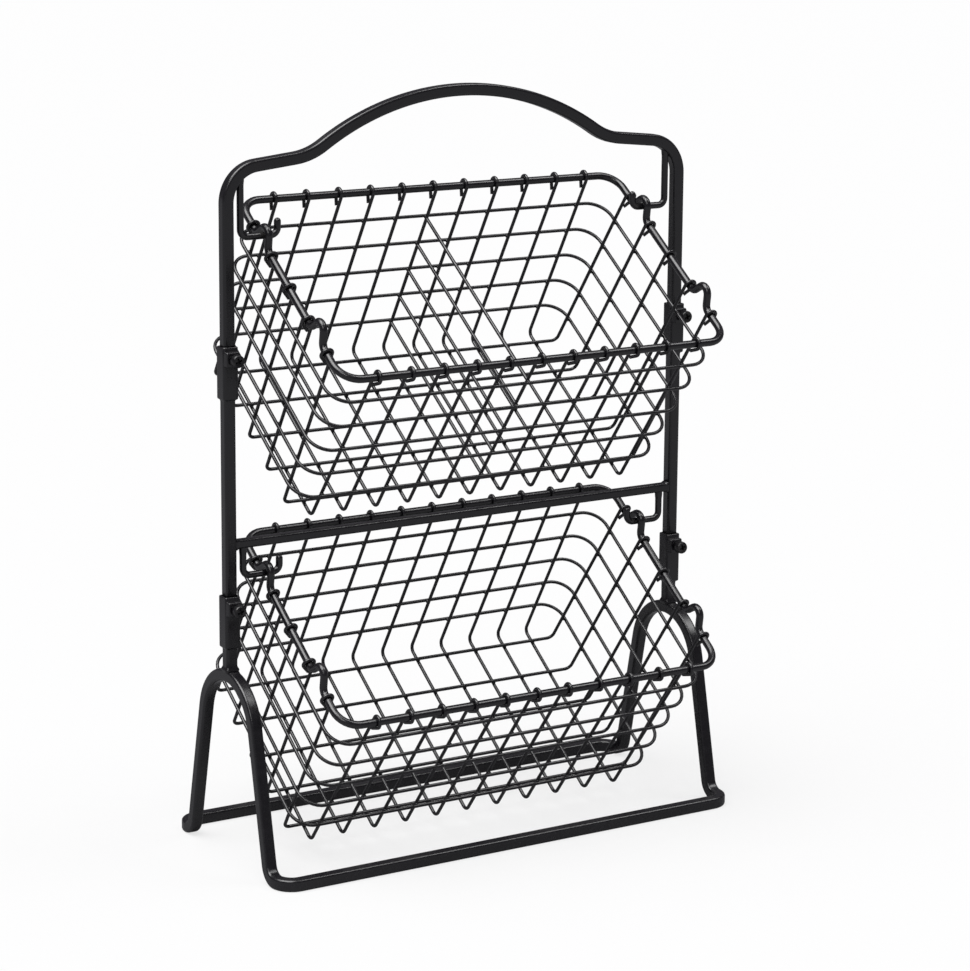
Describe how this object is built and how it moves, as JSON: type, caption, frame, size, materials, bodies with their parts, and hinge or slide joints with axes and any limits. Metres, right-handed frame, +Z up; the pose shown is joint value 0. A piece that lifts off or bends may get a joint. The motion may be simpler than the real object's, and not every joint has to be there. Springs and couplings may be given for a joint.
{
  "type": "wire produce basket",
  "caption": "Two-tier wire produce stand: knock-down tube frame with a carrying handle, hooks, and tilted wire baskets that hang from notched rims and swing.",
  "frame": {"origin": "middle of the footprint on the floor, under the plane of the posts", "axes": "+Z up, X across the width, -Y towards the front where the baskets open"},
  "size_m": [0.3114, 0.1843, 0.439],
  "materials": {
    "tube_coat": "satin black powder coat on steel tube",
    "wire_coat": "satin black powder coat on welded steel wire",
    "screw_coat": "black oxide screw"
  },
  "bodies": {
    "base": {"base_loop": "tube_coat", "base_post_left": "tube_coat", "base_post_right": "tube_coat"},
    "middle_section": {"middle_post_left": "tube_coat", "middle_post_right": "tube_coat", "crossbar": "tube_coat", "lower_hook_left": "wire_coat", "lower_hook_right": "wire_coat"},
    "top_section": {"top_frame": "tube_coat", "upper_hook_left": "wire_coat", "upper_hook_right": "wire_coat"},
    "upper_basket": {"upper_rim": "wire_coat", "upper_wall_loop_1": "wire_coat", "upper_wall_loop_2": "wire_coat", "upper_wall_loop_3": "wire_coat", "upper_wall_loop_4": "wire_coat", "upper_wall_loop_5": "wire_coat", "upper_cross_wire_1": "wire_coat", "upper_cross_wire_2": "wire_coat", "upper_cross_wire_3": "wire_coat", "upper_cross_wire_4": "wire_coat", "upper_cross_wire_5": "wire_coat", "upper_divider": "wire_coat", "upper_cross_wire_7": "wire_coat", "upper_cross_wire_8": "wire_coat", "upper_cross_wire_9": "wire_coat", "upper_cross_wire_10": "wire_coat", "upper_cross_wire_11": "wire_coat", "upper_long_wire_1": "wire_coat", "upper_long_wire_2": "wire_coat", "upper_long_wire_3": "wire_coat", "upper_long_wire_4": "wire_coat", "upper_long_wire_5": "wire_coat"},
    "lower_basket": {"lower_rim": "wire_coat", "lower_wall_loop_1": "wire_coat", "lower_wall_loop_2": "wire_coat", "lower_wall_loop_3": "wire_coat", "lower_wall_loop_4": "wire_coat", "lower_wall_loop_5": "wire_coat", "lower_cross_wire_1": "wire_coat", "lower_cross_wire_2": "wire_coat", "lower_cross_wire_3": "wire_coat", "lower_cross_wire_4": "wire_coat", "lower_cross_wire_5": "wire_coat", "lower_cross_wire_6": "wire_coat", "lower_cross_wire_7": "wire_coat", "lower_cross_wire_8": "wire_coat", "lower_cross_wire_9": "wire_coat", "lower_cross_wire_10": "wire_coat", "lower_cross_wire_11": "wire_coat", "lower_long_wire_1": "wire_coat", "lower_long_wire_2": "wire_coat", "lower_long_wire_3": "wire_coat", "lower_long_wire_4": "wire_coat", "lower_long_wire_5": "wire_coat"},
    "upper_screw_left": {"upper_screw_left": "screw_coat"},
    "upper_screw_right": {"upper_screw_right": "screw_coat"},
    "lower_screw_left": {"lower_screw_left": "screw_coat"},
    "lower_screw_right": {"lower_screw_right": "screw_coat"}
  },
  "joints": [
    {"name": "middle_lift", "type": "slide", "parent": "base", "child": "middle_section", "axis": [0, 0, 1], "range_m": [0, 0.03]},
    {"name": "top_lift", "type": "slide", "parent": "middle_section", "child": "top_section", "axis": [0, 0, 1], "range_m": [0, 0.03]},
    {"name": "upper_basket_swing", "type": "hinge", "parent": "top_section", "child": "upper_basket", "pos_m": [0, 0, 0.36], "axis": [1, 0, 0], "range_deg": [-30, 8]},
    {"name": "lower_basket_swing", "type": "hinge", "parent": "middle_section", "child": "lower_basket", "pos_m": [0, 0, 0.1668], "axis": [1, 0, 0], "range_deg": [-30, 8]},
    {"name": "upper_screw_left_turn", "type": "hinge", "parent": "middle_section", "child": "upper_screw_left", "pos_m": [-0.151, -0.008, 0.2929], "axis": [0, -1, 0], "range_deg": [0, 720]},
    {"name": "upper_screw_right_turn", "type": "hinge", "parent": "middle_section", "child": "upper_screw_right", "pos_m": [0.151, -0.008, 0.2929], "axis": [0, -1, 0], "range_deg": [0, 720]},
    {"name": "lower_screw_left_turn", "type": "hinge", "parent": "base", "child": "lower_screw_left", "pos_m": [-0.151, -0.008, 0.1497], "axis": [0, -1, 0], "range_deg": [0, 720]},
    {"name": "lower_screw_right_turn", "type": "hinge", "parent": "base", "child": "lower_screw_right", "pos_m": [0.151, -0.008, 0.1497], "axis": [0, -1, 0], "range_deg": [0, 720]}
  ]
}
